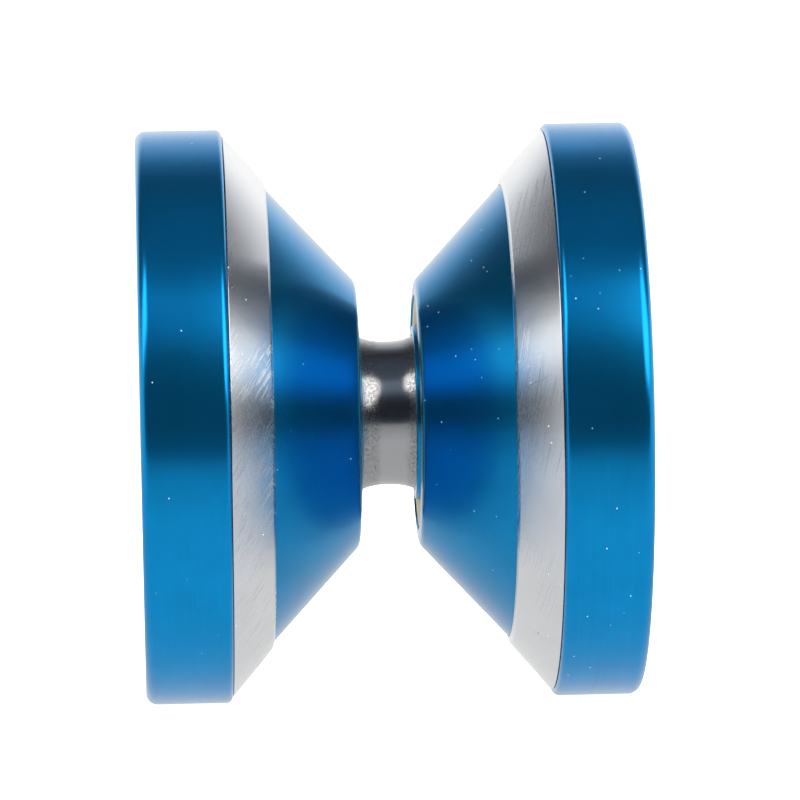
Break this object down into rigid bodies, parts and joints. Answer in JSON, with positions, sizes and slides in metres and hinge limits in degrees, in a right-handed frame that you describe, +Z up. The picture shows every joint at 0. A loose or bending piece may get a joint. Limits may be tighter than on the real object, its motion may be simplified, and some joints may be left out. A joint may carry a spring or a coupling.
{
  "type": "yo-yo",
  "caption": "Flared metal yo-yo: cupped halves with bevelled weight rings and response pads, joined by a threaded axle through a dished ball bearing.",
  "frame": {"origin": "middle of the axle, on the middle plane of the bearing", "axes": "+X along the axle towards the right half, +Z up, the yo-yo standing on its two rims"},
  "size_m": [0.0408, 0.0474, 0.0474],
  "materials": {
    "anodised_body": "blue anodised, satin-polished turned surface",
    "weight_ring": "bare polished steel with fine hand-polishing marks",
    "bearing_steel": "ground and polished bearing steel, slightly worn",
    "shield_plate": "pressed sheet steel",
    "spring_wire": "spring steel wire",
    "axle_steel": "black-oxide set screw",
    "cage_brass": "turned brass",
    "response_pad": "cream silicone, matte"
  },
  "bodies": {
    "left_side": {"left_half": "anodised_body", "left_weight_ring": "weight_ring", "left_response_pad": "response_pad", "axle": "axle_steel", "bearing_inner_race": "bearing_steel"},
    "bearing_outer": {"bearing_outer_race": "bearing_steel", "left_bearing_shield": "shield_plate", "right_bearing_shield": "shield_plate", "left_shield_clip": "spring_wire", "right_shield_clip": "spring_wire"},
    "ball_carrier": {"ball_cage": "cage_brass"},
    "right_pad": {"right_response_pad": "response_pad"},
    "right_side": {"right_half": "anodised_body", "right_weight_ring": "weight_ring"},
    "ball_01": {"ball_01": "bearing_steel"},
    "ball_02": {"ball_02": "bearing_steel"},
    "ball_03": {"ball_03": "bearing_steel"},
    "ball_04": {"ball_04": "bearing_steel"},
    "ball_05": {"ball_05": "bearing_steel"},
    "ball_06": {"ball_06": "bearing_steel"},
    "ball_07": {"ball_07": "bearing_steel"},
    "ball_08": {"ball_08": "bearing_steel"},
    "ball_09": {"ball_09": "bearing_steel"},
    "ball_10": {"ball_10": "bearing_steel"}
  },
  "joints": [
    {"name": "bearing_spin", "type": "hinge", "parent": "left_side", "child": "bearing_outer", "pos_m": [0, 0, 0], "axis": [1, 0, 0], "continuous": true},
    {"name": "cage_orbit", "type": "hinge", "parent": "left_side", "child": "ball_carrier", "pos_m": [0, 0, 0], "axis": [1, 0, 0], "continuous": true},
    {"name": "half_travel", "type": "slide", "parent": "left_side", "child": "right_pad", "axis": [1, 0, 0], "range_m": [0, 0.0077]},
    {"name": "right_half_unscrew", "type": "hinge", "parent": "right_pad", "child": "right_side", "pos_m": [0, 0, 0], "axis": [1, 0, 0], "range_deg": [0, 3960]},
    {"name": "ball_01_roll", "type": "hinge", "parent": "ball_carrier", "child": "ball_01", "pos_m": [0, 0, 0.00476], "axis": [1, 0, 0], "continuous": true},
    {"name": "ball_02_roll", "type": "hinge", "parent": "ball_carrier", "child": "ball_02", "pos_m": [0, 0.0028, 0.00385], "axis": [1, 0, 0], "continuous": true},
    {"name": "ball_03_roll", "type": "hinge", "parent": "ball_carrier", "child": "ball_03", "pos_m": [0, 0.00453, 0.00147], "axis": [1, 0, 0], "continuous": true},
    {"name": "ball_04_roll", "type": "hinge", "parent": "ball_carrier", "child": "ball_04", "pos_m": [0, 0.00453, -0.00147], "axis": [1, 0, 0], "continuous": true},
    {"name": "ball_05_roll", "type": "hinge", "parent": "ball_carrier", "child": "ball_05", "pos_m": [0, 0.0028, -0.00385], "axis": [1, 0, 0], "continuous": true},
    {"name": "ball_06_roll", "type": "hinge", "parent": "ball_carrier", "child": "ball_06", "pos_m": [0, 0, -0.00476], "axis": [1, 0, 0], "continuous": true},
    {"name": "ball_07_roll", "type": "hinge", "parent": "ball_carrier", "child": "ball_07", "pos_m": [0, -0.0028, -0.00385], "axis": [1, 0, 0], "continuous": true},
    {"name": "ball_08_roll", "type": "hinge", "parent": "ball_carrier", "child": "ball_08", "pos_m": [0, -0.00453, -0.00147], "axis": [1, 0, 0], "continuous": true},
    {"name": "ball_09_roll", "type": "hinge", "parent": "ball_carrier", "child": "ball_09", "pos_m": [0, -0.00453, 0.00147], "axis": [1, 0, 0], "continuous": true},
    {"name": "ball_10_roll", "type": "hinge", "parent": "ball_carrier", "child": "ball_10", "pos_m": [0, -0.0028, 0.00385], "axis": [1, 0, 0], "continuous": true}
  ],
  "couplings": [
    {"joint": "cage_orbit", "follows": "bearing_spin", "ratio": 0.58333},
    {"joint": "half_travel", "follows": "right_half_unscrew", "m_per_rad": 0.00011141},
    {"joint": "ball_01_roll", "follows": "bearing_spin", "ratio": 2.9167},
    {"joint": "ball_02_roll", "follows": "bearing_spin", "ratio": 2.9167},
    {"joint": "ball_03_roll", "follows": "bearing_spin", "ratio": 2.9167},
    {"joint": "ball_04_roll", "follows": "bearing_spin", "ratio": 2.9167},
    {"joint": "ball_05_roll", "follows": "bearing_spin", "ratio": 2.9167},
    {"joint": "ball_06_roll", "follows": "bearing_spin", "ratio": 2.9167},
    {"joint": "ball_07_roll", "follows": "bearing_spin", "ratio": 2.9167},
    {"joint": "ball_08_roll", "follows": "bearing_spin", "ratio": 2.9167},
    {"joint": "ball_09_roll", "follows": "bearing_spin", "ratio": 2.9167},
    {"joint": "ball_10_roll", "follows": "bearing_spin", "ratio": 2.9167}
  ]
}
